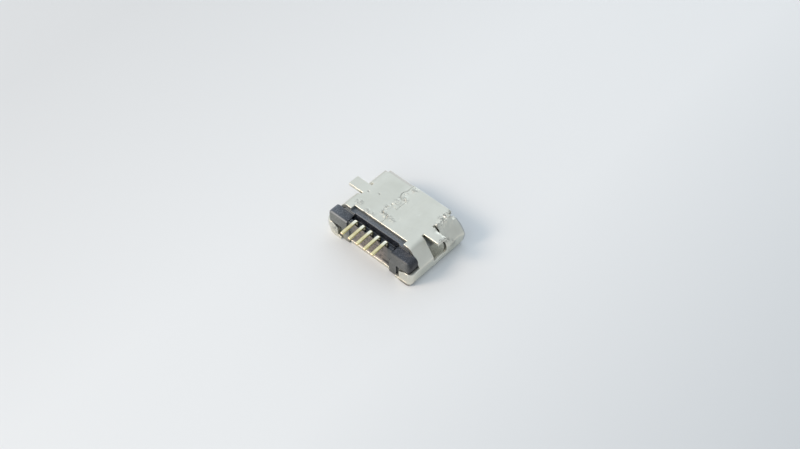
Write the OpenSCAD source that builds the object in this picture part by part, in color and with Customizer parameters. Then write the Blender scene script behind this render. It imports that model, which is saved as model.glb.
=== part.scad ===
// Micro USB socket for surface mounting, lying on its wide side with the mouth towards -Y.
// The wings and the terminal tails are level with the narrow plate, the side that meets a board.

/* [Shell] */
// Thickness of the folded sheet
sheet = 0.25; // [0.2:0.01:0.3]
// Inside width of the mouth, along the wide plate
mouth_w = 7; // [6.9:0.05:7.3]
// Inside height of the mouth
mouth_h = 1.9; // [1.85:0.05:2.1]
// Width of the narrow plate, fold to fold
plate_w = 5.74; // [5.5:0.02:5.9]
// Height of the fold between each shoulder and side
fold_z = 1.1; // [0.95:0.05:1.2]
// Outside radius of the folds beside the shoulders
fold_r = 0.4; // [0.35:0.01:0.45]
// Outside radius of the folds beside the wide plate
corner_r = 0.45; // [0.38:0.01:0.5]
// Length of the tube, rear edge to mouth
tube_len = 3.85; // [3.6:0.05:4.2]

/* [Mouth] */
// Width of the relief notches at the mouth's two upper corners
relief_w = 0.2; // [0.15:0.01:0.4]
// Depth of the relief notches
relief_len = 0.3; // [0.15:0.05:0.4]
// How far the relief notches reach down the shoulders
relief_drop = 0.3; // [0.27:0.01:0.4]

/* [Seam] */
// Gap left between the two edges of the sheet
seam_gap = 0.03; // [0.02:0.005:0.05]
// Radius of the round locking lobes
lobe_r = 0.42; // [0.36:0.02:0.46]
// How far the lobes' centres stand past the seam line
lobe_out = 0.26; // [0.2:0.02:0.3]
// Distance of the front lobe from the tube's rear edge
lobe_front = 2.85; // [2.7:0.05:2.95]
// Distance of the rear lobe from the tube's rear edge
lobe_rear = 1.15; // [1:0.05:1.3]
// How far past the seam line the seam runs out to the mouth
seam_shift = 0.56; // [0.48:0.02:0.6]

/* [Wings] */
// Span over the tips of both wings
wing_span = 7.8; // [7.4:0.05:8.2]
// Width of each wing
wing_w = 0.86; // [0.6:0.02:1]
// Distance of the wings' middle from the tube's rear edge
wing_y = 1.58; // [1.4:0.02:1.8]
// Slot left beside each wing when it was cut free
wing_slot = 0.2; // [0.12:0.01:0.26]
// Height of the lower edge of the windows under the wings
window_z = 0.7; // [0.6:0.05:0.9]

/* [Tray and tabs] */
// How far the tray's corners run on behind the tube
tray_len = 1.25; // [1.2:0.01:1.4]
// How far the tray's middle runs on behind the tube
tray_mid = 1.02; // [0.98:0.01:1.05]
// Height of the tray's side walls
tray_h = 1.08; // [1:0.01:1.1]
// Outside radius of the tray's rear corners
tray_r = 0.4; // [0.3:0.05:0.45]
// Distance between the flaps that fold round the tray's rear corners
flap_gap = 5.36; // [5.2:0.02:5.6]
// How far the upper edge of each flap falls towards its end
flap_drop = 0.25; // [0.1:0.05:0.4]
// Width of the falling part of that edge
flap_slope = 0.5; // [0.3:0.05:0.6]
// How far the sides and shoulders run on behind the narrow plate
tab_len = 0.35; // [0.3:0.05:0.5]
// Width of the narrow plate's rear notch
tab_gap = 4.54; // [4.4:0.02:4.7]
// Length of the latch windows in the wide plate
latch_len = 0.6; // [0.4:0.05:0.8]
// Width of the latch windows in the wide plate
latch_w = 0.9; // [0.6:0.05:1.1]
// Spacing of the latch windows
latch_pitch = 4; // [3.6:0.1:4.4]
// Distance of the latch windows from the mouth
latch_y = 1.35; // [1.2:0.05:1.5]

/* [Housing] */
// Clearance between the pieces
fit = 0.02; // [0.01:0.005:0.03]
// Thickness of the wall that closes the tube
wall_t = 0.35; // [0.3:0.05:0.5]
// Length of the ears behind the tube, over the flaps
ear_len = 1.2; // [1.1:0.01:1.25]
// Height of the ears' tops
ear_top = 1.98; // [1.9:0.01:2]
// Radius of the ears' upper outer edges
ear_r = 0.35; // [0.2:0.05:0.4]
// Radius of the ears' lower outer edges, over the flaps
ear_low_r = 0.3; // [0.1:0.05:0.35]
// How far the ears reach out over the tray's side walls
ear_out = 0.1; // [0:0.01:0.15]
// Radius of the ears' upright rear edges
ear_edge_r = 0.25; // [0.05:0.05:0.3]
// How far the block in the rear notch stands out
block_len = 0.32; // [0.15:0.01:0.35]
// Height of the trough's floor between the block and the comb
sill_z = 1.55; // [1.45:0.05:1.65]
// Length of the sill behind the tube
sill_len = 1.02; // [1:0.01:1.05]
// Height of the comb that holds the terminals
comb_z = 1.95; // [1.85:0.01:2]
// Distance of the comb's front from the tube's rear edge
comb_y = 0.7; // [0.68:0.01:0.72]
// Free width beside the outer terminals
bay_margin = 0.48; // [0.4:0.02:0.5]
// Distance between the middles of the two feet
foot_span = 4.1; // [4:0.02:4.2]
// Width of the two feet that stand in the tray's notches
foot_w = 0.62; // [0.4:0.02:0.7]
// Height of the two feet
foot_h = 1.15; // [1.13:0.01:1.2]
// How far the feet reach behind the tube
foot_len = 1.13; // [1.11:0.01:1.18]

/* [Tongue] */
// Length of the tongue in front of the wall
tongue_len = 2.5; // [2.2:0.05:2.7]
// Width of the tongue beside the outer contacts
tongue_margin = 0.34; // [0.2:0.02:0.4]
// Thickness of the tongue
tongue_t = 0.6; // [0.5:0.02:0.65]
// Space between the tongue and the narrow plate
tongue_gap = 0.3; // [0.25:0.01:0.35]
// Bevel round the tongue's tip
tongue_bevel = 0.15; // [0.05:0.01:0.2]

/* [Terminals] */
// Distance between neighbouring terminals
pitch = 0.65; // [0.6:0.01:0.68]
// Thickness of the terminal strip
blade_t = 0.15; // [0.12:0.01:0.18]
// Width of the tails
tail_w = 0.24; // [0.18:0.01:0.28]
// Width of the contacts on the tongue
contact_w = 0.34; // [0.28:0.01:0.4]
// How far the contacts stand proud of the tongue
contact_proud = 0.03; // [0:0.01:0.05]
// Bare tip of the tongue in front of the contacts
contact_setback = 0.3; // [0.25:0.05:0.5]
// Inside radius of the terminal bends
blade_r = 0.1; // [0.05:0.01:0.14]
// Distance of the risers' middle from the tube's rear edge
riser_y = 0.84; // [0.82:0.01:0.86]
// Reach of the tails behind the tube
tail_end = 2.29; // [1.9:0.01:2.5]
// Droop of the tails towards their ends, in degrees
tail_droop = 3; // [0:0.5:8]
// Free space on each side of a riser in its slot
slot_gap = 0.06; // [0.03:0.01:0.09]

/* [Hidden] */
$fn = 48;

terminal_count = 5;
half_w = mouth_w / 2 + sheet;
shell_h = mouth_h + 2 * sheet;
skin = sheet + fit;
// The origin is under the middle of the whole part, so the tube's rear edge lies off the origin.
rear_edge_y = (tube_len - tail_end) / 2;
past = sheet;

// Outward normals of the faces of the folded section, and the centres of its folds.
slope_run = [shell_h - fold_z, half_w - plate_w / 2];
slope_n = slope_run / norm(slope_run);
corner_c = [half_w - corner_r, corner_r];
fold_c = [half_w - fold_r, fold_z - fold_r * (1 - slope_n.x) / slope_n.y];
plate_c = [plate_w / 2 - fold_r * (1 - slope_n.y) / slope_n.x, shell_h - fold_r];
section_folds = [
    [corner_c, corner_r, [0, -1], [1, 0]],
    [fold_c, fold_r, [1, 0], slope_n],
    [plate_c, fold_r, slope_n, [0, 1]]
];

wing_tip = wing_span / 2;
window_len = wing_w + 2 * wing_slot;
row_w = (terminal_count - 1) * pitch;
bay_w = row_w + tail_w + 2 * bay_margin;
ear_in = tray_len - skin;
ear_low = tray_h + fit;
brow_x = half_w - skin + ear_out;
foot_x = foot_span / 2;
foot_front = sill_len - sheet;
tongue_w = row_w + contact_w + 2 * tongue_margin;
tongue_top = shell_h - sheet - tongue_gap;
tongue_z = tongue_top - tongue_t;
contact_z = tongue_z - contact_proud;
contact_tip = -wall_t - tongue_len + contact_setback;
bend_r = blade_r + blade_t / 2;
hump_c = [riser_y + bend_r, shell_h - blade_t - blade_r];

// Runs a section, drawn across the width and up, from y0 to y1.
module along(y0, y1) {
    translate([0, y1, 0])
        rotate([90, 0, 0])
            linear_extrude(y1 - y0)
                children();
}

// Runs a section, drawn along the length and up, over a width about the middle.
module across(width) {
    rotate([90, 0, 90])
        linear_extrude(width, center = true)
            children();
}

// A box about the middle plane, from y0 to y1 and z0 to z1.
module mid_box(width, y0, y1, z0, z1) {
    translate([-width / 2, y0, z0])
        cube([width, y1 - y0, z1 - z0]);
}

module both_sides() {
    children();
    mirror([1, 0, 0])
        children();
}

module half_section(inset) {
    polygon(concat(
        [[0, inset]],
        [for (fold = section_folds, n = [fold[2], fold[3]]) fold[0] + (fold[1] - inset) * n],
        [[0, shell_h - inset]]
    ));
    for (fold = section_folds)
        translate(fold[0])
            circle(fold[1] - inset);
}

// The section of the tube, moved inwards by an inset.
module section(inset) {
    half_section(inset);
    mirror([1, 0])
        half_section(inset);
}

module sheet_section() {
    difference() {
        section(0);
        section(sheet);
    }
}

// Outline of the tube and the tray, seen from above.
module sheet_plan() {
    corner = [half_w - tray_r, tray_len - tray_r];
    translate([-half_w, -tube_len])
        square([2 * half_w, tube_len + corner.y]);
    translate([-corner.x, 0])
        square([2 * corner.x, tray_len]);
    both_sides()
        translate(corner)
            circle(tray_r);
}

// The wall that folds round a rear corner of the tray, standing on the tray's floor.
module flap() {
    flap_x = flap_gap / 2;
    along(tray_len - sheet, tray_len)
        polygon([
            [flap_x, sheet + seam_gap],
            [half_w, sheet + seam_gap],
            [half_w, tray_h],
            [flap_x + flap_slope, tray_h],
            [flap_x, tray_h - flap_drop]
        ]);
}

// Tube and tray as one folded sheet.
module folded_sheet() {
    difference() {
        intersection() {
            union() {
                along(-tube_len, tray_len)
                    sheet_section();
                both_sides()
                    flap();
            }
            linear_extrude(shell_h)
                sheet_plan();
        }
        // The narrow plate has a notch, and behind the shoulders only the tray stays.
        mid_box(tab_gap, 0, tray_len + past, tray_h, shell_h + past);
        mid_box(2 * half_w + past, tab_len, tray_len + past, tray_h, shell_h + past);
        // The tray's middle stops short, and two notches take the feet.
        mid_box(2 * foot_x, tray_mid, tray_len + past, -past, sheet + past);
        both_sides()
            translate([foot_x - foot_w / 2 - fit, foot_front - fit, -past])
                cube([foot_w + 2 * fit, tray_len, sheet + 2 * past]);
        // A notch relieves each upper corner of the mouth.
        both_sides()
            translate([plate_w / 2 - relief_w, -tube_len - past, shell_h - relief_drop])
                cube([half_w, relief_len + past, shell_h]);
    }
}

module windows() {
    both_sides()
        translate([plate_c.x, -wing_y - window_len / 2, window_z])
            cube([half_w, window_len, shell_h]);
    both_sides()
        translate([latch_pitch / 2 - latch_w / 2, latch_y - tube_len, -past])
            cube([latch_w, latch_len, sheet + 2 * past]);
}

module wings() {
    both_sides()
        translate([plate_c.x - sheet, -wing_y - wing_w / 2, shell_h - sheet])
            cube([wing_tip - plate_c.x + sheet, wing_w, sheet]);
}

// The half of the narrow plate that carries the lobes, grown by a margin.
module lobed_half(margin, reach) {
    translate([-reach, -tube_len - past])
        square([reach + margin, tube_len + 2 * past]);
    for (y = [lobe_front, lobe_rear])
        translate([lobe_out, -y])
            circle(lobe_r + margin);
    translate([-reach, -tube_len - past])
        square([reach + seam_shift + margin, tube_len + past - lobe_front]);
}

module seam() {
    translate([0, 0, shell_h - sheet - past])
        linear_extrude(sheet + 2 * past)
            difference() {
                lobed_half(seam_gap, past);
                lobed_half(0, 2 * past);
            }
}

module shell() {
    color("silver")
        translate([0, rear_edge_y, 0])
            difference() {
                union() {
                    difference() {
                        folded_sheet();
                        windows();
                    }
                    wings();
                }
                seam();
            }
}

// The part of an ear that stands in the tray.
module ear_section() {
    intersection() {
        section(skin);
        translate([bay_w / 2, 0])
            square([half_w, ear_low + ear_low_r]);
    }
}

// The part of an ear that lies over the tray's walls and flaps.
module brow_section() {
    top_c = [brow_x - ear_r, ear_top - ear_r];
    low_c = [brow_x - ear_low_r, ear_low + ear_low_r];
    polygon([
        [bay_w / 2, ear_low],
        [low_c.x, ear_low],
        [brow_x, low_c.y],
        [brow_x, top_c.y],
        [top_c.x, ear_top],
        [bay_w / 2, ear_top]
    ]);
    translate(top_c)
        circle(ear_r);
    translate(low_c)
        circle(ear_low_r);
}

module ear_plan() {
    edge_c = [brow_x - ear_edge_r, ear_len - ear_edge_r];
    polygon([
        [bay_w / 2, 0],
        [brow_x, 0],
        [brow_x, edge_c.y],
        [edge_c.x, ear_len],
        [bay_w / 2, ear_len]
    ]);
    translate(edge_c)
        circle(ear_edge_r);
}

module ear() {
    along(tab_len + fit, ear_in)
        ear_section();
    intersection() {
        along(tab_len + fit, ear_len)
            brow_section();
        linear_extrude(shell_h)
            ear_plan();
    }
}

module tongue() {
    tip = -wall_t - tongue_len;
    across(tongue_w)
        polygon([
            [0, tongue_z],
            [tip + tongue_bevel, tongue_z],
            [tip, tongue_z + tongue_bevel],
            [tip, tongue_top - tongue_bevel],
            [tip + tongue_bevel, tongue_top],
            [0, tongue_top]
        ]);
}

// The way of one terminal through the tongue, the wall and the sill.
module terminal_way() {
    contact_top = contact_z + blade_t + fit;
    mid_box(contact_w + 2 * fit, contact_tip - fit, -wall_t + fit, contact_z - past, contact_top);
    mid_box(tail_w + 2 * fit, -wall_t, riser_y, contact_z - fit, contact_top);
    mid_box(
        tail_w + 2 * slot_gap,
        riser_y - bend_r - fit,
        riser_y + blade_t / 2 + fit,
        contact_z - fit,
        shell_h
    );
}

module at_terminal(index) {
    translate([(index - (terminal_count + 1) / 2) * pitch, 0, 0])
        children();
}

module housing() {
    color("#2b2d33")
        translate([0, rear_edge_y, 0])
            difference() {
                union() {
                    along(-wall_t, tab_len + 2 * fit)
                        section(skin);
                    both_sides()
                        ear();
                    mid_box(bay_w, 0, sill_len, skin, comb_z);
                    both_sides()
                        translate([foot_x - foot_w / 2, foot_front, fit])
                            cube([foot_w, foot_len - foot_front, foot_h]);
                    tongue();
                }
                mid_box(bay_w, block_len, comb_y, sill_z, shell_h);
                mid_box(bay_w, block_len, ear_len + past, comb_z, shell_h);
                for (index = [1 : terminal_count])
                    at_terminal(index)
                        terminal_way();
            }
}

// A quarter bend, or a little more, of the terminal strip between two angles.
module strip_bend(from, to) {
    far = blade_r + blade_t + past;
    intersection() {
        difference() {
            circle(blade_r + blade_t);
            circle(blade_r);
        }
        polygon([
            [0, 0],
            far * [cos(from), sin(from)],
            far * [cos((from + to) / 2), sin((from + to) / 2)],
            far * [cos(to), sin(to)]
        ]);
    }
}

// Contact, riser and tail as one bent strip, seen from the side.
module riser_and_tail() {
    low_c = [riser_y - bend_r, contact_z + blade_t + blade_r];
    tail_run = (tail_end - hump_c.x - (blade_r + blade_t) * sin(tail_droop)) / cos(tail_droop);
    translate([-wall_t, contact_z])
        square([low_c.x + wall_t, blade_t]);
    translate(low_c)
        strip_bend(-90, 0);
    translate([riser_y - blade_t / 2, low_c.y])
        square([blade_t, hump_c.y - low_c.y]);
    translate(hump_c)
        strip_bend(90 - tail_droop, 180);
    translate(hump_c)
        rotate(-tail_droop)
            translate([0, blade_r])
                square([tail_run, blade_t]);
}

module terminal(index) {
    color("#d8c48a")
        translate([0, rear_edge_y, 0])
            at_terminal(index) {
                across(tail_w)
                    riser_and_tail();
                mid_box(contact_w, contact_tip, -wall_t, contact_z, contact_z + blade_t);
            }
}

shell();
housing();
for (index = [1 : terminal_count])
    terminal(index);
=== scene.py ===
"""Micro USB socket lying on its wide side on a pale table: worn sheet, finishes, light and camera."""

import math

import bpy
from mathutils import Matrix, Vector, noise as clouds


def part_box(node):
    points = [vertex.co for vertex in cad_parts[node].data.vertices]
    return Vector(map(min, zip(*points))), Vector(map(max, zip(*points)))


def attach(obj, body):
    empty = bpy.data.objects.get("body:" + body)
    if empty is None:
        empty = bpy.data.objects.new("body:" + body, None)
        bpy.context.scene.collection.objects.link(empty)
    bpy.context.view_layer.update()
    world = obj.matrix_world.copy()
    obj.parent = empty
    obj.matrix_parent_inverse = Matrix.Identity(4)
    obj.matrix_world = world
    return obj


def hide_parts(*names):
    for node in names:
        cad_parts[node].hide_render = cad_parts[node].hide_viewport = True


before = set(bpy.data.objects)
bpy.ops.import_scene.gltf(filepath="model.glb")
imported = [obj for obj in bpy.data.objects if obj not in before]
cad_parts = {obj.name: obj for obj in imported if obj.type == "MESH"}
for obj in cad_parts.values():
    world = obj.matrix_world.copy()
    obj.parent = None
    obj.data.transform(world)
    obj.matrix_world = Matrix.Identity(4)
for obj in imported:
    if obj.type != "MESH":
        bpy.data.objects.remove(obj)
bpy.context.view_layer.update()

MM = 0.001
TERMINALS = 5

# Places on the socket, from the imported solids; left and right are as seen from behind
SHELL_LOW, SHELL_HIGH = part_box("shell")
HOUSING_LOW, HOUSING_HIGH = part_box("housing")
TAIL_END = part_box("terminal_3")[1].y
MOUTH = SHELL_LOW.y
PLATE_TOP = SHELL_HIGH.z

# Driving sizes of the folded sheet and the moulding, as in the solids
SHEET = 0.25 * MM
TUBE_LENGTH = 3.85 * MM
REAR_EDGE = MOUTH + TUBE_LENGTH
HALF_WIDTH = 3.75 * MM
PLATE_HALF = 2.87 * MM
FOLD_HEIGHT = 1.1 * MM
WING_FRONT = REAR_EDGE - 2.01 * MM
WING_REAR = REAR_EDGE - 1.15 * MM
COMB_HALF = 1.6 * MM
EAR_START = 2.3 * MM
UNDER_PLATE = PLATE_TOP - 1.5 * SHEET
UNDER_WING = PLATE_TOP - 1.1 * SHEET
SHOULDER_NORMAL = Vector((PLATE_TOP - FOLD_HEIGHT, HALF_WIDTH - PLATE_HALF)).normalized()

# The jigsaw seam: round lobes past a straight line, and the line's last run out to the mouth
SEAM_GAP = 0.03 * MM
SEAM_LEFT = 0.01 * MM
SEAM_OPEN = 0.028 * MM
LOBE_RADIUS = 0.42 * MM
LOBE_FRONT = Vector((0.26 * MM, REAR_EDGE - 2.85 * MM))
LOBE_REAR = Vector((0.26 * MM, REAR_EDGE - 1.15 * MM))
SEAM_SHIFT = 0.56 * MM
SEAM_SLACK = 0.002 * MM
SEAM_TURN = 0.1

# Edge rounding of each kind of edge
SHEET_EDGE = 0.03 * MM
SEAM_EDGE = 0.012 * MM
WING_EDGE = 0.05 * MM
NOTCH_EDGE = 0.04 * MM
TRAY_EDGE = 0.03 * MM
FLAP_EDGE = 0.015 * MM
MOULDED_EDGE = 0.035 * MM
EAR_EDGE = 0.15 * MM
BLOCK_EDGE = 0.06 * MM
BLOCK_SLACK = 0.1 * MM
STRIP_EDGE = 0.05 * MM
EDGE_STEPS = 3
SOFT_STEPS = 5
SHARP_ANGLE = math.radians(35)
FLAT_ANGLE = math.radians(0.5)
FLATS_WEIGHT = 100
WELD_DISTANCE = 0.001 * MM
CUT_DISTANCE = 0.0001 * MM

# Wear of the sheet: rolled, spread, bent and rubbed edges, a crumpled fold, small dents, and dark spots
# of dirt and painted shade
GRID_STEP = 0.09 * MM
LIP_REACH = 0.26 * MM
LIP_DROP = 0.035 * MM
LIP_INNER = 0.75 * MM
LIP_STAINED = 0.35
ROLL_REACH = 0.4 * MM
ROLL_DROP = 0.11 * MM
SPREAD_REACH = 0.5 * MM
SPREAD_OUT = 0.19 * MM
SPREAD_CURVE = 1.3
SPREAD_TOP = 2.35 * MM
SPREAD_FULL = 1.4 * MM
SPREAD_FOOT = 0.15 * MM
RIM_REACH = 0.1 * MM
RIM_STEP = 0.025 * MM
CORNER_REACH = 0.5 * MM
CORNER_DROP = 0.1 * MM
RUB_RADIUS = 0.8 * MM
RUB_HEIGHT = 0.7 * MM
RUB_SHARE = 0.85
CRUMPLE_LEAN = Vector((-0.5, 0, 1))
CRUMPLE_DEPTH = 0.075 * MM
CRUMPLE_SIZE = 0.2 * MM
CRUMPLE_FINE = 0.45
CRUMPLE_REACH = 0.45 * MM
CRUMPLE_CUTS = 2
SWELL_DEPTH = 0.012 * MM
SWELL_SIZE = 1.3 * MM
DENT_CUTS = 3
DENTS = [
    # x and y of the middle, radius and depth in millimetres; a negative depth stands up
    (2.45, -0.7, 0.13, 0.045),
    (1.78, -1.01, 0.13, 0.045),
    (0.55, -0.88, 0.13, 0.06),
    (0.42, -0.72, 0.14, -0.03),
    (0.64, -0.55, 0.12, 0.04),
    (0.54, 0.01, 0.13, 0.06),
    (0.38, 0.06, 0.12, -0.035),
    (0.2, -0.02, 0.13, 0.055),
    (0.06, 0.17, 0.1, 0.035),
    (-0.14, 0.1, 0.11, 0.035),
    (-0.3, 0.3, 0.12, 0.03),
    (0.0, 0.4, 0.12, -0.03),
    (0.2, 0.3, 0.11, 0.035),
    (0.55, -1.68, 0.12, 0.05),
    (0.48, -2.1, 0.09, 0.045),
    (0.38, -2.28, 0.09, 0.045),
    (0.25, -2.75, 0.18, -0.035),
    (0.45, -2.6, 0.14, 0.03),
    (0.16, -1.72, 0.12, 0.04),
    (-0.08, -1.6, 0.12, -0.035),
    (-0.02, -1.1, 0.14, 0.03),
    (-0.7, -0.28, 0.14, 0.025),
    (-1.36, -1.46, 0.15, 0.025),
]
# Dents deeper than this get dark spots of dirt and painted shade
GRIME_AND_SHADE_DEPTH = 0.04
# Dark spots of painted shade and painted dark reflection on the crumpled fold, the right wing's tip, the
# side under it and the left flap, with some dirt
DARK_SPOTS = [
    # x, y and z of the middle and radius in millimetres
    (-2.6, -2.97, 2.36, 0.2),
    (-2.6, -2.5, 2.4, 0.22),
    (-2.72, -2.15, 2.38, 0.22),
    (-2.8, -1.42, 2.4, 0.15),
    (-3.5, -1.45, 1.45, 0.2),
    (-3.55, -1.75, 1.35, 0.2),
    (-3.9, -1.05, 2.4, 0.25),
    (-3.85, -0.7, 2.4, 0.3),
    (-3.6, -1.1, 2.38, 0.25),
    (2.85, 2.02, 0.8, 0.35),
]
SCUFF_CORE = 1 / 3
SCUFFS = [
    # x, y and z of the middle and radius in millimetres
    (2.27, 0.38, 2.4, 0.4),
    (1.35, 0.6, 2.4, 0.3),
    (0.9, 0.55, 2.4, 0.25),
    (0.03, 0.1, 2.4, 0.35),
    (-0.4, 0.1, 2.4, 0.3),
    (0.5, 0.0, 2.4, 0.3),
    (0.6, -0.5, 2.4, 0.3),
    (0.4, -1.25, 2.4, 0.35),
    (0.2, -1.75, 2.4, 0.35),
    (0.2, -2.75, 2.4, 0.35),
    (-2.7, -3.0, 2.4, 0.35),
    (-2.65, -2.6, 2.4, 0.4),
    (-2.67, -2.1, 2.4, 0.4),
    (-2.8, -1.5, 2.4, 0.3),
    (-3.5, -1.6, 1.45, 0.4),
    (-3.7, -2.0, 0.95, 0.4),
    (2.9, 2.0, 0.6, 0.5),
]

# Patterns of the finishes: patches per millimetre, detail, and stretch where one is drawn out
SHEET_CLOUDS = (0.7, 6)
SHEET_GRAIN = (14, 3)
SHEET_RUBS = (9, 5, (1, 0.08, 1))
SHEET_PATCHES = (11, 4)
SHEET_MOTTLE = (8, 3)
PLASTIC_SPECKS = (16, 2)
PLASTIC_FLOW = (1.6, 5, (1, 0.5, 1))
PLASTIC_BLOTCHES = (5, 3)
STRIP_CLOUDS = (3, 4)
STRIP_LINES = (30, 3, (1, 0.1, 1))
PATTERN_ROUGHNESS = 0.55

# Sockets of a mix node that take and give colours
MIX_UNDER = 6
MIX_OVER = 7
MIX_RESULT = 2

# Ranges of a pattern's values: most of them, and the middle ones
MOST = (0.3, 0.7)
MIDDLE = (0.4, 0.6)

# The sheet's finish: its tones, and the colour, strength and place of each stain and of the painted shade
NICKEL_DARK = (0.69, 0.68, 0.6)
NICKEL_PALE = (0.78, 0.77, 0.69)
# Painted shade: darker tones inside the tube
INNER_DARK = (0.42, 0.41, 0.35)
INNER_PALE = (0.63, 0.62, 0.54)
INNER_RANGE = (0.35, 0.65)
LIP_STAIN = (0.62, 0.58, 0.53)
LIP_LEAST = 0.5
# Painted shade along the mouth's right edge
RIM_SHADE = (0.43, 0.45, 0.46)
RIM_SHARE = 0.8
# Dark spots: dirt, and painted shade and dark reflections
GRIME_AND_SHADE_COLOUR = (0.2, 0.2, 0.18)
GRIME_AND_SHADE_RANGE = (0.1, 0.7)
GRIME_AND_SHADE_SHARE = 0.8
SCUFF_STAIN = (0.36, 0.35, 0.32)
SCUFF_RANGE = (0.46, 0.6)
SCUFF_SHARE = 0.75
TRAY_STAIN = (0.5, 0.4, 0.36)
TRAY_LEAST = 0.2
TRAY_SHARE = 0.25
TRAY_HEIGHT = (SHEET, 1.6 * SHEET)
TRAY_SIDE = (COMB_HALF - 2.5 * SHEET, COMB_HALF - SHEET)
TRAY_REAR = (REAR_EDGE + 3.8 * SHEET, REAR_EDGE + 4 * SHEET)
# Painted shade along the bottom of the tray's right rear corner
SOLE_SHADE = (0.17, 0.14, 0.12)
SOLE_SHARE = 0.85
SOLE_HEIGHT = (0.4 * SHEET, 0.8 * SHEET)
SOLE_SIDE = (-2.9 * MM, -2.6 * MM)
SOLE_REAR = (REAR_EDGE + 2 * SHEET, REAR_EDGE + 3 * SHEET)
SHEET_ROUGHNESS = (0.3, 0.46)
CLOUD_RELIEF = 0.02 * MM
RUB_RELIEF = 0.0008 * MM
GRAIN_RELIEF = 0.0008 * MM
SCUFF_RELIEF = 0.08 * MM

# The moulding's finish: its tones, and the colour, strength and place of each patch of wear, painted
# light and painted shade
BLACK_STOPS = [(0.4, (0.01, 0.014, 0.022)), (0.58, (0.028, 0.034, 0.048)), (0.7, (0.15, 0.16, 0.19))]
WORN_DARK = (0.045, 0.06, 0.08)
WORN_PALE = (0.17, 0.195, 0.23)
WORN_RANGE = (0.36, 0.64)
WORN_SHARE = 0.8
WORN_SIDE = (1.5 * MM, HOUSING_HIGH.x)
REARWARD = (0.1, 0.9)
UPWARD = (0.6, 0.9)
BLOCK_REAR = (REAR_EDGE + 1.3 * SHEET, REAR_EDGE + 1.7 * SHEET)
COMB_SIDE = (COMB_HALF - 2 * SHEET, COMB_HALF)
# Painted light: paler tones on faces that look to the rear, more on the left and warmer on the comb
REAR_LIT_DARK = (0.08, 0.085, 0.085)
REAR_LIT_PALE = (0.14, 0.145, 0.14)
LEFT_REAR_LIT_DARK = (0.12, 0.13, 0.125)
LEFT_REAR_LIT_PALE = (0.23, 0.245, 0.23)
COMB_REAR_LIT_DARK = (0.14, 0.12, 0.108)
COMB_REAR_LIT_PALE = (0.25, 0.215, 0.185)
# Painted highlight along edges between the top and rear faces
EDGE_HIGHLIGHT_COLOUR = (0.3, 0.31, 0.32)
BRIGHT_EDGE_SHARE = 0.6
BRIGHT_EDGE_TURN = (0.25, 0.45)
BRIGHT_EDGE_SIDE = (-2 * MM, 2 * MM)
# Painted shade at the right end
RIGHT_END_SHADE = (0.008, 0.009, 0.012)
RIGHT_END_SHARE = 0.85
RIGHT_END_SIDE = (HOUSING_LOW.x, HOUSING_LOW.x + 1.6 * SHEET)
# Painted shade: dark blotches between the tails
BLOTCH_SHADE = (0.03, 0.026, 0.028)
BLOTCH_RANGE = (0.5, 0.6)
BLOTCH_SHARE = 0.8
COMB_FOOT_COLOUR = (0.55, 0.5, 0.46)
COMB_FOOT_SHARE = 0.75
COMB_FOOT_HEIGHT = (1.5 * SHEET, 2.1 * SHEET)
JOINT_COLOUR = (0.012, 0.011, 0.012)
JOINT_SHARE = 0.95
JOINT_LOW = (1.7 * SHEET, 2.1 * SHEET)
JOINT_HIGH = (2.6 * SHEET, 3.1 * SHEET)
JOINT_RIGHT = (-1.15 * MM, -1 * MM)
JOINT_SIDE = (COMB_HALF, COMB_HALF + SHEET / 2)
LEFT_FOOT_COLOUR = (0.3, 0.3, 0.25)
LEFT_FOOT_SHARE = 0.7
LEFT_FOOT_HEIGHT = (2 * SHEET, 3 * SHEET)
LEFT_FOOT_SIDE = (COMB_HALF - SHEET, COMB_HALF + 2 * SHEET)
PLASTIC_ROUGHNESS = (0.38, 0.6)
PLASTIC_IOR = 1.55
SPECK_RELIEF = 0.004 * MM

# The terminals' finish: gold, with a painted highlight over the bend, other tones on the sides and cut
# end, and painted shade down the riser
GOLD_DARK = (0.72, 0.62, 0.34)
GOLD_PALE = (0.86, 0.78, 0.5)
# Painted highlight over the bend
BEND_HIGHLIGHT = (0.97, 0.94, 0.8)
BEND_FRONT = (REAR_EDGE + 3.2 * SHEET, REAR_EDGE + 3.8 * SHEET)
BEND_REAR = (REAR_EDGE + 4.4 * SHEET, REAR_EDGE + 5.6 * SHEET)
SIDE_GOLD = (0.78, 0.72, 0.34)
SIDE_SHARE = 0.95
SIDE_TURN = (0.45, 0.85)
CUT_COPPER = (0.78, 0.58, 0.42)
CUT_END = (TAIL_END - 0.03 * MM, TAIL_END - 0.01 * MM)
# Painted shade down the riser
RISER_SHADE = (0.1, 0.08, 0.045)
RISER_TOP = (PLATE_TOP - SHEET, PLATE_TOP - SHEET / 2)
RISER_REAR = (REAR_EDGE + 3.4 * SHEET, REAR_EDGE + 3.8 * SHEET)
STRIP_ROUGHNESS = (0.22, 0.38)
LINE_RELIEF = 0.001 * MM

# Camera: a long lens above the rear right corner of the socket, with its angles in degrees
PICTURE_WIDTH = 800
FOCAL_PIXELS = 1500
SENSOR_WIDTH = 36
CAMERA_PLACE = Vector((-43.21, 46.72, 74.86)) * MM
CAMERA_TURN = 222.12
CAMERA_TILT = 40.97
CAMERA_ROLL = 0.22

# Table and light
TABLE_RADIUS = 1.5
TABLE_CORNERS = 96
TABLE_REACH = 30 * MM
TABLE_DROP = 0.004 * MM
TABLE_EVEN = (0.4, 0.6)
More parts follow.
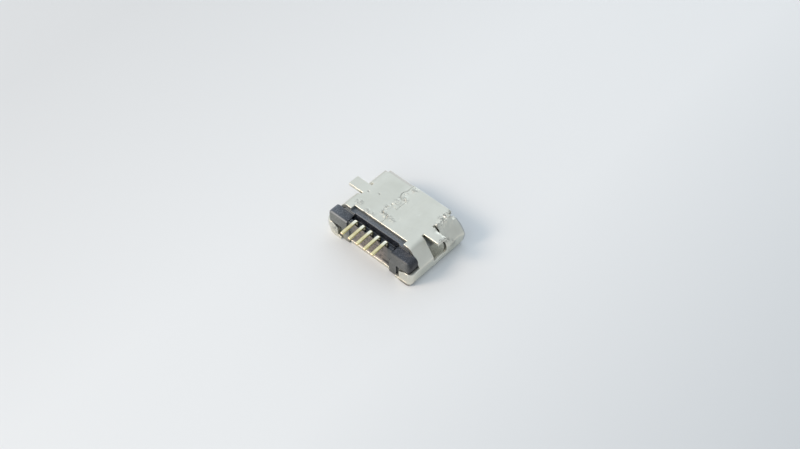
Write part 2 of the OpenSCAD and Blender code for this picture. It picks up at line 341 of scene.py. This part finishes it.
# Painted shade: the table is darker to both sides, as the light falls off
TABLE_COLOUR = (0.742, 0.762, 0.776)
TABLE_RIGHT_COLOUR = (0.56, 0.588, 0.61)
TABLE_LEFT_COLOUR = (0.645, 0.662, 0.675)
TABLE_ROUGHNESS = 0.6
SKY_COLOUR = (0.86, 0.935, 1, 1)
SKY_BRIGHT = 1.07
SKY_DIM = 0.59
SKY_SIDE = Vector((0.5, 0.3, 0.8))
SKY_RANGE = (0.1, 0.9)
GLOW_SIDE = Vector((0.42, -0.9, 0.1))
GLOW_RANGE = (0.9, 1)
GLOW_STRENGTH = 1.8
KEY_COLOUR = (1, 0.8, 0.63)
KEY_DIRECTION = Vector((0.43, 0.65, 0.62))
KEY_DISTANCE = 0.4
KEY_SIZE = 0.14
KEY_POWER = 0.8


def only(piece):
    """Selects one piece and makes it active."""
    bpy.ops.object.select_all(action="DESELECT")
    piece.select_set(True)
    bpy.context.view_layer.objects.active = piece


def ease(value, low, high):
    """A smooth step from 0 to 1 while a value goes from low to high."""
    share = min(max((value - low) / (high - low), 0), 1)
    return share * share * (3 - 2 * share)


def merged_copy(node, name):
    """A copy of a solid with its loose triangles merged into whole faces."""
    piece = bpy.data.objects.new(name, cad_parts[node].data.copy())
    bpy.context.scene.collection.objects.link(piece)
    only(piece)
    bpy.ops.mesh.customdata_custom_splitnormals_clear()
    bpy.ops.object.mode_set(mode="EDIT")
    bpy.ops.mesh.select_all(action="SELECT")
    bpy.ops.mesh.remove_doubles(threshold=WELD_DISTANCE)
    bpy.ops.mesh.dissolve_limited(angle_limit=FLAT_ANGLE)
    bpy.ops.object.mode_set(mode="OBJECT")
    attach(piece, "root")
    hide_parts(node)
    return piece


def round_edges(piece, width_at, steps=EDGE_STEPS):
    """Rounds each sharp edge by the width that a function gives for its two ends."""
    only(piece)
    bpy.ops.object.mode_set(mode="EDIT")
    bpy.ops.mesh.select_mode(type="EDGE")
    bpy.ops.mesh.select_all(action="DESELECT")
    bpy.ops.mesh.edges_select_sharp(sharpness=SHARP_ANGLE)
    bpy.ops.object.mode_set(mode="OBJECT")
    mesh = piece.data
    widths = {}
    for edge in mesh.edges:
        if edge.select:
            first, second = (mesh.vertices[index].co for index in edge.vertices)
            widths[edge.index] = width_at(first, second)
    widest = max(widths.values())
    weights = mesh.attributes.new("bevel_weight_edge", "FLOAT", "EDGE")
    for index, width in widths.items():
        weights.data[index].value = width / widest
    rounding = piece.modifiers.new("edges", "BEVEL")
    rounding.width = widest
    rounding.segments = steps
    rounding.limit_method = "WEIGHT"
    rounding.use_clamp_overlap = False
    bpy.ops.object.modifier_apply(modifier=rounding.name)


def smooth_faces(piece):
    """Smooth shading with even flats."""
    only(piece)
    bpy.ops.object.shade_smooth_by_angle(angle=SHARP_ANGLE)
    evening = piece.modifiers.new("flats", "WEIGHTED_NORMAL")
    evening.mode = "FACE_AREA"
    evening.weight = FLATS_WEIGHT
    evening.keep_sharp = True
    bpy.ops.object.modifier_apply(modifier=evening.name)


def cut_across(piece, axis, low, high, step):
    """Cuts a piece by planes across an axis, so that it can be dented."""
    only(piece)
    bpy.ops.object.mode_set(mode="EDIT")
    normal = Vector((0, 0, 0))
    normal[axis] = 1
    for index in range(1, math.ceil((high - low) / step)):
        middle = normal * (low + index * step)
        bpy.ops.mesh.select_all(action="SELECT")
        bpy.ops.mesh.bisect(plane_co=middle, plane_no=normal, threshold=CUT_DISTANCE)
    bpy.ops.object.mode_set(mode="OBJECT")


def refine(piece, wanted, cuts):
    """Divides the faces that are wanted."""
    only(piece)
    bpy.ops.object.mode_set(mode="EDIT")
    bpy.ops.mesh.select_mode(type="FACE")
    bpy.ops.mesh.select_all(action="DESELECT")
    bpy.ops.object.mode_set(mode="OBJECT")
    for face in piece.data.polygons:
        face.select = wanted(face.center)
    bpy.ops.object.mode_set(mode="EDIT")
    bpy.ops.mesh.subdivide(number_cuts=cuts)
    bpy.ops.object.mode_set(mode="OBJECT")


def seam_sides(place):
    """Distances from the lobed half of the narrow plate to a place, each with its direction."""
    flat = place.to_2d()
    across = Vector((1, 0))
    sides = [(flat.x, across)]
    if flat.y < LOBE_FRONT.y:
        sides.append((flat.x - SEAM_SHIFT, across))
    for lobe in (LOBE_FRONT, LOBE_REAR):
        arm = flat - lobe
        sides.append((arm.length - LOBE_RADIUS, arm.normalized()))
    return sides


def on_seam(place, low, high):
    """Whether a place is on a side of the seam, between two distances from the lobed half."""
    nearest = min(distance for distance, direction in seam_sides(place))
    return place.z > UNDER_PLATE and low - SEAM_SLACK < nearest < high + SEAM_SLACK


def seam_left(place):
    """The gap that is left at a place: the front lobe's far side stays open."""
    far_side = ease(place.x, LOBE_FRONT.x, LOBE_FRONT.x + LOBE_RADIUS / 2)
    along = 1 - ease(place.y, LOBE_FRONT.y, LOBE_REAR.y)
    along *= ease(place.y, LOBE_FRONT.y - 1.5 * LOBE_RADIUS, LOBE_FRONT.y - LOBE_RADIUS / 2)
    return SEAM_LEFT + (SEAM_OPEN - SEAM_LEFT) * far_side * along


def tighten_seam(shell):
    """Closes most of the seam, as the press left it."""
    for vertex in shell.data.vertices:
        if not on_seam(vertex.co, SEAM_GAP, SEAM_GAP):
            continue
        pull = SEAM_GAP - seam_left(vertex.co)
        held = [direction for distance, direction in seam_sides(vertex.co)
                if abs(distance - SEAM_GAP) < SEAM_SLACK]
        shift = held[0] * pull
        if len(held) > 1 and abs(held[0].cross(held[1])) > SEAM_TURN:
            shift = Matrix(held[:2]).inverted() @ Vector((pull, pull))
        vertex.co -= shift.to_3d()


def sheet_edge_width(first, second):
    """How far an edge of the sheet is rounded."""
    middle = (first + second) / 2
    if on_seam(first, 0, SEAM_GAP) and on_seam(second, 0, SEAM_GAP):
        return SEAM_EDGE
    on_top = middle.z > PLATE_TOP - WELD_DISTANCE
    if on_top and middle.x < -PLATE_HALF and WING_FRONT - SHEET < middle.y < WING_REAR + SHEET:
        return WING_EDGE
    if middle.y > REAR_EDGE + SHEET and middle.z < 2 * SHEET:
        return TRAY_EDGE if abs(middle.x) < COMB_HALF else FLAP_EDGE
    if on_top and abs(middle.y - REAR_EDGE) < WELD_DISTANCE:
        return NOTCH_EDGE
    return SHEET_EDGE


def moulded_edge_width(first, second):
    """How far an edge of the moulding is rounded: the ears' outer edges and the block's are softer."""
    middle = (first + second) / 2
    at_rear = middle.y > HOUSING_HIGH.y - SHEET
    if at_rear and middle.z > FOLD_HEIGHT + SHEET and abs(middle.x) > EAR_START:
        return EAR_EDGE
    on_block = REAR_EDGE < middle.y < REAR_EDGE + 2 * SHEET and middle.z > PLATE_TOP - 2 * SHEET
    if on_block and abs(middle.x) < BLOCK_SLACK:
        return BLOCK_EDGE
    return MOULDED_EDGE


def strip_edge_width(first, second):
    """How far an edge of a terminal is rounded."""
    return STRIP_EDGE


def depth_in_tube(place):
    """How far a place lies under the outside of the tube's section."""
    slope = SHOULDER_NORMAL.dot(Vector((HALF_WIDTH - abs(place.x), FOLD_HEIGHT - place.z)))
    return min(place.z, PLATE_TOP - place.z, HALF_WIDTH - abs(place.x), slope)


def inside_share(place):
    """How far a place is on the inner side of the tube's sheet, painted dull and dark there as shade."""
    in_tube = 1 - ease(place.y, REAR_EDGE, REAR_EDGE + 2 * SHEET)
    in_tube *= ease(place.y, MOUTH + SHEET, MOUTH + 4 * SHEET)
    return in_tube * ease(depth_in_tube(place), SHEET / 2, SHEET)


def lip_share(place):
    """How far a place is out on the left half's lip at the mouth."""
    if place.z < UNDER_PLATE:
        return 0
    across = ease(place.x, SEAM_SHIFT + SEAM_GAP, LIP_INNER)
    across *= 1 - ease(place.x, PLATE_HALF, HALF_WIDTH)
    return across * min(max((MOUTH + LIP_REACH - place.y) / LIP_REACH, 0), 1)


def lip_stain_share(place):
    """How far a place is on the stained lip of the left half."""
    return ease(lip_share(place), 0, LIP_STAINED)


def rim_share(place):
    """How far a place is on the edge of the mouth on the right shoulder and side, painted dark there as
    shade.
    """
    outer = ease(-place.x, PLATE_HALF, PLATE_HALF + SHEET / 2)
    return outer * (1 - ease(place.y, MOUTH + RIM_REACH / 2, MOUTH + RIM_REACH))


def nearest_share(place, spots, core):
    """How far a place is in the nearest of some spots, each full up to a share of its radius."""
    return max(1 - ease((place - spot).length, core * radius, radius) for spot, radius in spots)


def mark_points(shell, name, share_at):
    """Keeps a share for each point of the sheet, for its finish to read."""
    marks = shell.data.attributes.new(name, "FLOAT", "POINT")
    for vertex in shell.data.vertices:
        marks.data[vertex.index].value = share_at(vertex.co)


def mark_sheet(shell):
    """Marks the inside and the mouth's right edge, painted dark as shade; the dark spots and deep dents,
    dirt and painted shade; the stained lip; and the scuffs.
    """
    dirt_and_shade = [(Vector((x, y, z)) * MM, radius * MM) for x, y, z, radius in DARK_SPOTS]
    dirt_and_shade += [
        (Vector((x * MM, y * MM, PLATE_TOP)), radius * MM)
        for x, y, radius, depth in DENTS if depth > GRIME_AND_SHADE_DEPTH
    ]
    scuffs = [(Vector((x, y, z)) * MM, radius * MM) for x, y, z, radius in SCUFFS]
    mark_points(shell, "inside", inside_share)
    mark_points(shell, "grime_and_shade", lambda place: nearest_share(place, dirt_and_shade, 0))
    mark_points(shell, "lip", lip_stain_share)
    mark_points(shell, "rim", rim_share)
    mark_points(shell, "scuff", lambda place: nearest_share(place, scuffs, SCUFF_CORE))


def roll_lip(place):
    """The left half of the narrow plate rolls down at the mouth."""
    return Vector((0, 0, -LIP_DROP * lip_share(place)))


def roll_wing(place):
    """The right wing is rolled down along its front edge."""
    if place.x > -PLATE_HALF or place.z < UNDER_WING or place.y > WING_FRONT + ROLL_REACH:
        return Vector()
    share = (WING_FRONT + ROLL_REACH - place.y) / ROLL_REACH
    out = ease(-place.x, PLATE_HALF, PLATE_HALF + SHEET) * ease(place.y, WING_FRONT - SHEET, WING_FRONT)
    return Vector((0, 0, -ROLL_DROP * out * share * share))


def spread_mouth(place):
    """The right shoulder and side are spread outwards along the mouth's edge."""
    if place.x > 0:
        return Vector()
    share = min(max((MOUTH + SPREAD_REACH - place.y) / SPREAD_REACH, 0), 1)
    move = SPREAD_OUT * share ** SPREAD_CURVE
    height = ease(place.z, SPREAD_TOP, SPREAD_FULL) * ease(place.z, SPREAD_FOOT, FOLD_HEIGHT + SHEET)
    outer = ease(-place.x, PLATE_HALF - 2 * SHEET, PLATE_HALF + SHEET)
    lean = ease(place.z, FOLD_HEIGHT - SHEET, FOLD_HEIGHT + 2 * SHEET)
    out = Vector((-1, 0, 0)).lerp(Vector((-SHOULDER_NORMAL.x, 0, SHOULDER_NORMAL.y)), lean)
    return out * move * height * outer


def bend_corner(place):
    """The narrow plate's right front corner is bent down."""
    height = ease(place.z, FOLD_HEIGHT, PLATE_TOP - SHEET)
    reach = (place.to_2d() - Vector((-PLATE_HALF, MOUTH))).length
    return Vector((0, 0, -CORNER_DROP * height * (1 - ease(reach, 0, CORNER_REACH))))


def rub_corner(place):
    """The foot of the tray's left rear corner is rubbed round."""
    arm = place.to_2d() - Vector((HALF_WIDTH - RUB_RADIUS, SHELL_HIGH.y - RUB_RADIUS))
    if min(arm) < 0 or arm.length < RUB_RADIUS:
        return Vector()
    low = 1 - ease(place.z, 0, RUB_HEIGHT)
    arm *= (RUB_RADIUS / arm.length - 1) * RUB_SHARE * low
    return arm.to_3d()


def crumple_fold(place):
    """The fold beside the right shoulder is crumpled in front of the wing."""
    if place.z < FOLD_HEIGHT or place.x > 0:
        return Vector()
    along = ease(place.y, MOUTH - SHEET, MOUTH + SHEET)
    along *= 1 - ease(place.y, WING_FRONT - SHEET, WING_FRONT)
    across = 1 - ease(abs(-place.x - PLATE_HALF), 0, CRUMPLE_REACH)
    spot = Vector((place.x, place.y, 0)) / CRUMPLE_SIZE
    wave = clouds.noise(spot) + CRUMPLE_FINE * clouds.noise(2 * spot)
    return CRUMPLE_LEAN * CRUMPLE_DEPTH * along * across * wave


def swell(place):
    """The narrow plate and the shoulders aren't quite flat."""
    wave = clouds.noise(Vector((place.x, place.y, 0)) / SWELL_SIZE)
    inner = ease(place.z, FOLD_HEIGHT, PLATE_TOP - SHEET)
    return Vector((0, 0, SWELL_DEPTH * inner * wave))


def small_dents(place):
    """Small dents and burrs on the narrow plate, most of them along the seam."""
    drop = 0
    if place.z > PLATE_TOP - SHEET / 2:
        for x, y, radius, depth in DENTS:
            reach = math.hypot(place.x - x * MM, place.y - y * MM)
            drop += depth * MM * (1 - ease(reach, 0, radius * MM))
    return Vector((0, 0, -drop))


def in_dent(place):
    """Whether a place is on one of the small dents."""
    if place.z < PLATE_TOP - WELD_DISTANCE:
        return False
    return any(
        math.hypot(place.x - x * MM, place.y - y * MM) < radius * MM + GRID_STEP / 2
        for x, y, radius, depth in DENTS
    )


def in_crumple(place):
    """Whether a place is on the outside of the crumpled fold."""
    outside = depth_in_tube(place) < SHEET / 2
    return outside and abs(-place.x - PLATE_HALF) < CRUMPLE_REACH and place.y < WING_FRONT


def wear_sheet(shell):
    """Cuts the sheet finely enough, marks its stains, then bends and dents it."""
    cut_across(shell, 0, SHELL_LOW.x, SHELL_HIGH.x, GRID_STEP)
    cut_across(shell, 1, MOUTH, REAR_EDGE, GRID_STEP)
    cut_across(shell, 1, MOUTH, MOUTH + 3 * RIM_REACH, RIM_STEP)
    cut_across(shell, 2, 0, PLATE_TOP, 2 * GRID_STEP)
    refine(shell, in_dent, DENT_CUTS)
    refine(shell, in_crumple, CRUMPLE_CUTS)
    mark_sheet(shell)
    bends = (roll_lip, roll_wing, spread_mouth, bend_corner, rub_corner, crumple_fold, swell, small_dents)
    for vertex in shell.data.vertices:
        place = vertex.co.copy()
        for bend in bends:
            vertex.co += bend(place)


def add_node(tree, kind, inputs=(), **settings):
    """Adds a shader node. An input that is given a socket is linked to it."""
    made = tree.nodes.new("ShaderNode" + kind)
    for key, value in settings.items():
        setattr(made, key, value)
    for key, value in dict(inputs).items():
        if isinstance(value, bpy.types.NodeSocket):
            tree.links.new(value, made.inputs[key])
        else:
            made.inputs[key].default_value = value
    return made


def axes_of(tree, vector):
    """The three parts of a vector."""
    made = add_node(tree, "SeparateXYZ", {"Vector": vector})
    return made.outputs["X"], made.outputs["Y"], made.outputs["Z"]


def unsigned(tree, value):
    """A value without its sign."""
    return add_node(tree, "Math", {0: value}, operation="ABSOLUTE").outputs["Value"]


def product(tree, *factors):
    """The product of several patterns."""
    result = factors[0]
    for factor in factors[1:]:
        result = add_node(tree, "Math", {0: result, 1: factor}, operation="MULTIPLY").outputs["Value"]
    return result


def pattern(tree, place, per_mm, detail, stretch=(1, 1, 1)):
    """A cloudy pattern with so many patches per millimetre, drawn out along the axes."""
    mapped = add_node(tree, "Mapping", {"Vector": place, "Scale": stretch})
    made = add_node(tree, "TexNoise", {
        "Vector": mapped.outputs["Vector"],
        "Scale": per_mm / MM,
        "Detail": detail,
        "Roughness": PATTERN_ROUGHNESS,
    })
    return made.outputs["Fac"]


def marks_of(tree, name):
    """The shares that were kept for each point under a name."""
    return add_node(tree, "Attribute", attribute_name=name).outputs["Fac"]


def spread(tree, value, span, low, high):
    """Maps a value's span to the range from low to high."""
    made = add_node(tree, "MapRange", {
        "Value": value,
        "From Min": span[0],
        "From Max": span[1],
        "To Min": low,
        "To Max": high,
    })
    return made.outputs["Result"]


def rise(tree, value, span, share=1):
    """Grows from 0 to a share while a value crosses a span."""
    return spread(tree, value, span, 0, share)


def fall(tree, value, span, share=1):
    """Sinks from a share to 0 while a value crosses a span."""
    return spread(tree, value, span, share, 0)


def ramp(tree, factor, stops):
    """Turns a pattern into colours. Each stop is a place from 0 to 1 and a colour."""
    made = add_node(tree, "ValToRGB", {"Fac": factor})
    band = made.color_ramp
    while len(band.elements) < len(stops):
        band.elements.new(0.5)
    for element, (place, colour) in zip(band.elements, stops):
        element.position = place
        element.color = (*colour, 1)
    return made.outputs["Color"]


def tones(tree, factor, dark, pale, span=MOST):
    """Turns a pattern into tones from dark to pale."""
    return ramp(tree, factor, [(span[0], dark), (span[1], pale)])


def blend(tree, factor, under, over):
    """Lays one colour over another by a factor."""
    upper = over if isinstance(over, bpy.types.NodeSocket) else (*over, 1)
    inputs = {"Factor": factor, MIX_UNDER: under, MIX_OVER: upper}
    return add_node(tree, "Mix", inputs, data_type="RGBA").outputs[MIX_RESULT]


def bump(tree, height, depth, before=None):
    """Raises a surface by a pattern, on top of an earlier bump."""
    inputs = {"Height": height, "Distance": depth, "Strength": 1.0}
    if before is not None:
        inputs["Normal"] = before
    return add_node(tree, "Bump", inputs).outputs["Normal"]


def new_finish(name):
    """An empty material with its main shader and its place on the piece."""
    finish = bpy.data.materials.new(name)
    finish.use_nodes = True
    tree = finish.node_tree
    shader = tree.nodes["Principled BSDF"]
    place = add_node(tree, "TexCoord").outputs["Object"]
    return finish, tree, shader, place


def facing_of(tree):
    """How far a surface faces sideways, to the rear and upwards."""
    return axes_of(tree, add_node(tree, "TexCoord").outputs["Normal"])


def plated_sheet():
    """Satin nickel plating: cloudy and rubbed, stained at the lip, the tray's edge and the scuffs, with
    painted shade inside the tube, along the mouth's right edge and under the tray's right rear corner,
    and dark spots of dirt and painted shade.
    """
    finish, tree, shader, place = new_finish("plated_sheet")
    x, y, z = axes_of(tree, place)
    cloudy = pattern(tree, place, *SHEET_CLOUDS)
    grain = pattern(tree, place, *SHEET_GRAIN)
    rubbed = pattern(tree, place, *SHEET_RUBS)
    patchy = pattern(tree, place, *SHEET_PATCHES)
    mottle = pattern(tree, place, *SHEET_MOTTLE)
    scuff = marks_of(tree, "scuff")
    colour = tones(tree, cloudy, NICKEL_DARK, NICKEL_PALE)
    # Painted shade: the inside of the tube is darker
    dull = tones(tree, grain, INNER_DARK, INNER_PALE, INNER_RANGE)
    colour = blend(tree, marks_of(tree, "inside"), colour, dull)
    lip = product(tree, marks_of(tree, "lip"), spread(tree, grain, MOST, LIP_LEAST, 1))
    colour = blend(tree, lip, colour, LIP_STAIN)
    # Painted shade along the mouth's right edge
    colour = blend(tree, product(tree, marks_of(tree, "rim"), RIM_SHARE), colour, RIM_SHADE)
    scuffed = product(tree, scuff, rise(tree, mottle, SCUFF_RANGE, SCUFF_SHARE))
    colour = blend(tree, scuffed, colour, SCUFF_STAIN)
    tray = product(
        tree,
        rise(tree, y, TRAY_REAR),
        fall(tree, z, TRAY_HEIGHT, TRAY_SHARE),
        fall(tree, unsigned(tree, x), TRAY_SIDE),
        spread(tree, mottle, MIDDLE, TRAY_LEAST, 1),
    )
    colour = blend(tree, tray, colour, TRAY_STAIN)
    # Painted shade along the bottom of the tray's right rear corner
    sole_shade = product(
        tree,
        fall(tree, z, SOLE_HEIGHT, SOLE_SHARE),
        fall(tree, x, SOLE_SIDE),
        rise(tree, y, SOLE_REAR),
    )
    colour = blend(tree, sole_shade, colour, SOLE_SHADE)
    # Dark spots: dirt, and painted shade and dark reflections
    grime_and_shade = product(tree, marks_of(tree, "grime_and_shade"), rise(tree, patchy, MIDDLE))
    colour = blend(tree, rise(tree, grime_and_shade, GRIME_AND_SHADE_RANGE, GRIME_AND_SHADE_SHARE), colour, GRIME_AND_SHADE_COLOUR)
    tree.links.new(colour, shader.inputs["Base Color"])
    shader.inputs["Metallic"].default_value = 1.0
    tree.links.new(spread(tree, rubbed, MOST, *SHEET_ROUGHNESS), shader.inputs["Roughness"])
    relief = bump(tree, cloudy, CLOUD_RELIEF)
    relief = bump(tree, rubbed, RUB_RELIEF, relief)
    relief = bump(tree, grain, GRAIN_RELIEF, relief)
    relief = bump(tree, product(tree, scuff, mottle), SCUFF_RELIEF, relief)
    tree.links.new(relief, shader.inputs["Normal"])
    return finish


def moulded_plastic():
    """Black filled plastic with pale specks: worn on the left and on the block, with painted light on the
    rear faces and rear top edges, and painted shade at the right end and between the tails.
    """
    finish, tree, shader, place = new_finish("moulded_plastic")
    x, y, z = axes_of(tree, place)
    rearward, upward = facing_of(tree)[1:]
    beside = unsigned(tree, x)
    specks = pattern(tree, place, *PLASTIC_SPECKS)
    flow = pattern(tree, place, *PLASTIC_FLOW)
    blotches = pattern(tree, place, *PLASTIC_BLOTCHES)
    left = rise(tree, x, WORN_SIDE, WORN_SHARE)
    block = fall(tree, y, BLOCK_REAR)
    comb = fall(tree, beside, COMB_SIDE)
    # Painted light: faces that look to the rear are paler
    rear_lit = product(tree, rise(tree, rearward, REARWARD), fall(tree, block, (0, 1)))
    black = ramp(tree, specks, BLACK_STOPS)
    worn = tones(tree, specks, WORN_DARK, WORN_PALE, WORN_RANGE)
    black = blend(tree, left, black, worn)
    black = blend(tree, product(tree, block, rise(tree, upward, UPWARD)), black, worn)
    rear_lit_colour = tones(tree, specks, REAR_LIT_DARK, REAR_LIT_PALE)
    rear_lit_colour = blend(tree, left, rear_lit_colour, tones(tree, specks, LEFT_REAR_LIT_DARK, LEFT_REAR_LIT_PALE))
    rear_lit_colour = blend(tree, comb, rear_lit_colour, tones(tree, specks, COMB_REAR_LIT_DARK, COMB_REAR_LIT_PALE))
    colour = blend(tree, rear_lit, black, rear_lit_colour)
    # Painted highlight along edges between the top and rear faces
    edge = rise(tree, product(tree, upward, rearward), BRIGHT_EDGE_TURN, BRIGHT_EDGE_SHARE)
    edge = product(tree, edge, rise(tree, x, BRIGHT_EDGE_SIDE))
    colour = blend(tree, edge, colour, EDGE_HIGHLIGHT_COLOUR)
    # Painted shade at the right end
    colour = blend(tree, fall(tree, x, RIGHT_END_SIDE, RIGHT_END_SHARE), colour, RIGHT_END_SHADE)
    # Painted shade: dark blotches between the tails
    shade_blotched = product(tree, comb, rear_lit, rise(tree, blotches, BLOTCH_RANGE, BLOTCH_SHARE))
    colour = blend(tree, shade_blotched, colour, BLOTCH_SHADE)
    comb_foot = product(tree, fall(tree, z, COMB_FOOT_HEIGHT, COMB_FOOT_SHARE), comb)
    colour = blend(tree, comb_foot, colour, COMB_FOOT_COLOUR)
    joint = product(
        tree,
        rise(tree, z, JOINT_LOW, JOINT_SHARE),
        fall(tree, z, JOINT_HIGH),
        fall(tree, x, JOINT_RIGHT),
        fall(tree, beside, JOINT_SIDE),
    )
    colour = blend(tree, joint, colour, JOINT_COLOUR)
    left_foot = rise(tree, x, LEFT_FOOT_SIDE, LEFT_FOOT_SHARE)
    left_foot = product(tree, left_foot, fall(tree, z, LEFT_FOOT_HEIGHT))
    colour = blend(tree, left_foot, colour, LEFT_FOOT_COLOUR)
    tree.links.new(colour, shader.inputs["Base Color"])
    tree.links.new(spread(tree, flow, MOST, *PLASTIC_ROUGHNESS), shader.inputs["Roughness"])
    shader.inputs["IOR"].default_value = PLASTIC_IOR
    tree.links.new(bump(tree, specks, SPECK_RELIEF), shader.inputs["Normal"])
    return finish


def gilt_strip():
    """Pale gold plating with a painted highlight over the bend, painted shade down the riser, and bare
    copper alloy on the cut end.
    """
    finish, tree, shader, place = new_finish("gilt_strip")
    y, z = axes_of(tree, place)[1:]
    sideways = facing_of(tree)[0]
    cloudy = pattern(tree, place, *STRIP_CLOUDS)
    drawn = pattern(tree, place, *STRIP_LINES)
    colour = tones(tree, cloudy, GOLD_DARK, GOLD_PALE)
    bend = product(tree, rise(tree, y, BEND_FRONT), fall(tree, y, BEND_REAR))
    colour = blend(tree, bend, colour, BEND_HIGHLIGHT)
    side = rise(tree, unsigned(tree, sideways), SIDE_TURN, SIDE_SHARE)
    colour = blend(tree, side, colour, SIDE_GOLD)
    colour = blend(tree, rise(tree, y, CUT_END), colour, CUT_COPPER)
    # Painted shade down the riser
    riser = product(tree, fall(tree, z, RISER_TOP), fall(tree, y, RISER_REAR))
    colour = blend(tree, riser, colour, RISER_SHADE)
    tree.links.new(colour, shader.inputs["Base Color"])
    shader.inputs["Metallic"].default_value = 1.0
    tree.links.new(spread(tree, drawn, MOST, *STRIP_ROUGHNESS), shader.inputs["Roughness"])
    tree.links.new(bump(tree, drawn, LINE_RELIEF), shader.inputs["Normal"])
    return finish


def dress(piece, finish):
    """Gives a piece its finish."""
    piece.data.materials.clear()
    piece.data.materials.append(finish)


def lay_table():
    """The pale table under the socket, painted a little darker to both sides as the light falls off."""
    bpy.ops.object.select_all(action="DESELECT")
    bpy.ops.mesh.primitive_circle_add(
        vertices=TABLE_CORNERS, radius=TABLE_RADIUS, fill_type="NGON", location=(0, 0, -TABLE_DROP)
    )
    table = bpy.context.active_object
    table.name = "table"
    finish, tree, shader, place = new_finish("table")
    across = axes_of(tree, place)[0]
    # Painted shade: darker to both sides, as the light falls off
    colour = ramp(tree, rise(tree, across, (-TABLE_REACH, TABLE_REACH)), [
        (0, TABLE_RIGHT_COLOUR),
        (TABLE_EVEN[0], TABLE_COLOUR),
        (TABLE_EVEN[1], TABLE_COLOUR),
        (1, TABLE_LEFT_COLOUR),
    ])
    tree.links.new(colour, shader.inputs["Base Color"])
    shader.inputs["Roughness"].default_value = TABLE_ROUGHNESS
    table.data.materials.append(finish)


def towards(tree, direction, side):
    """How far a direction points to a side."""
    made = add_node(tree, "VectorMath", {0: direction, 1: side.normalized()}, operation="DOT_PRODUCT")
    return made.outputs["Value"]


def light_sky():
    """An even pale room, brighter overhead and on the left, with a window low in front of the mouth."""
    world = bpy.data.worlds.new("room")
    bpy.context.scene.world = world
    world.use_nodes = True
    tree = world.node_tree
    room = tree.nodes["Background"]
    direction = add_node(tree, "TexCoord").outputs["Generated"]
    strength = spread(tree, towards(tree, direction, SKY_SIDE), SKY_RANGE, SKY_DIM, SKY_BRIGHT)
    glow = rise(tree, towards(tree, direction, GLOW_SIDE), GLOW_RANGE, GLOW_STRENGTH)
    light = add_node(tree, "Math", {0: strength, 1: glow}, operation="ADD")
    room.inputs["Color"].default_value = SKY_COLOUR
    tree.links.new(light.outputs["Value"], room.inputs["Strength"])


def hang_key():
    """A warm soft lamp, high behind the left side, that points at the socket."""
    lamp = bpy.data.lights.new("key", "AREA")
    lamp.shape = "DISK"
    lamp.size = KEY_SIZE
    lamp.energy = KEY_POWER
    lamp.color = KEY_COLOUR
    key = bpy.data.objects.new("key", lamp)
    bpy.context.scene.collection.objects.link(key)
    key.location = KEY_DIRECTION.normalized() * KEY_DISTANCE
    key.rotation_euler = (-key.location).to_track_quat("-Z", "Y").to_euler()


def place_camera():
    """The camera, with its lens worked out from the picture's width."""
    lens = bpy.data.cameras.new("camera")
    lens.sensor_width = SENSOR_WIDTH
    lens.lens = SENSOR_WIDTH * FOCAL_PIXELS / PICTURE_WIDTH
    lens.clip_start = MM
    camera = bpy.data.objects.new("camera", lens)
    bpy.context.scene.collection.objects.link(camera)
    turn = Matrix.Rotation(math.radians(CAMERA_TURN), 4, "Z")
    tilt = Matrix.Rotation(math.radians(CAMERA_TILT), 4, "X")
    roll = Matrix.Rotation(math.radians(CAMERA_ROLL), 4, "Z")
    camera.matrix_world = Matrix.Translation(CAMERA_PLACE) @ turn @ tilt @ roll
    bpy.context.scene.camera = camera


shell = merged_copy("shell", "shell_sheet")
tighten_seam(shell)
round_edges(shell, sheet_edge_width)
wear_sheet(shell)
smooth_faces(shell)
dress(shell, plated_sheet())

housing = merged_copy("housing", "housing_moulding")
round_edges(housing, moulded_edge_width, SOFT_STEPS)
smooth_faces(housing)
dress(housing, moulded_plastic())

strip_finish = gilt_strip()
for index in range(1, TERMINALS + 1):
    strip = merged_copy(f"terminal_{index}", f"terminal_strip_{index}")
    round_edges(strip, strip_edge_width)
    smooth_faces(strip)
    dress(strip, strip_finish)

lay_table()
light_sky()
hang_key()
place_camera()

bpy.context.scene.view_settings.view_transform = "Standard"
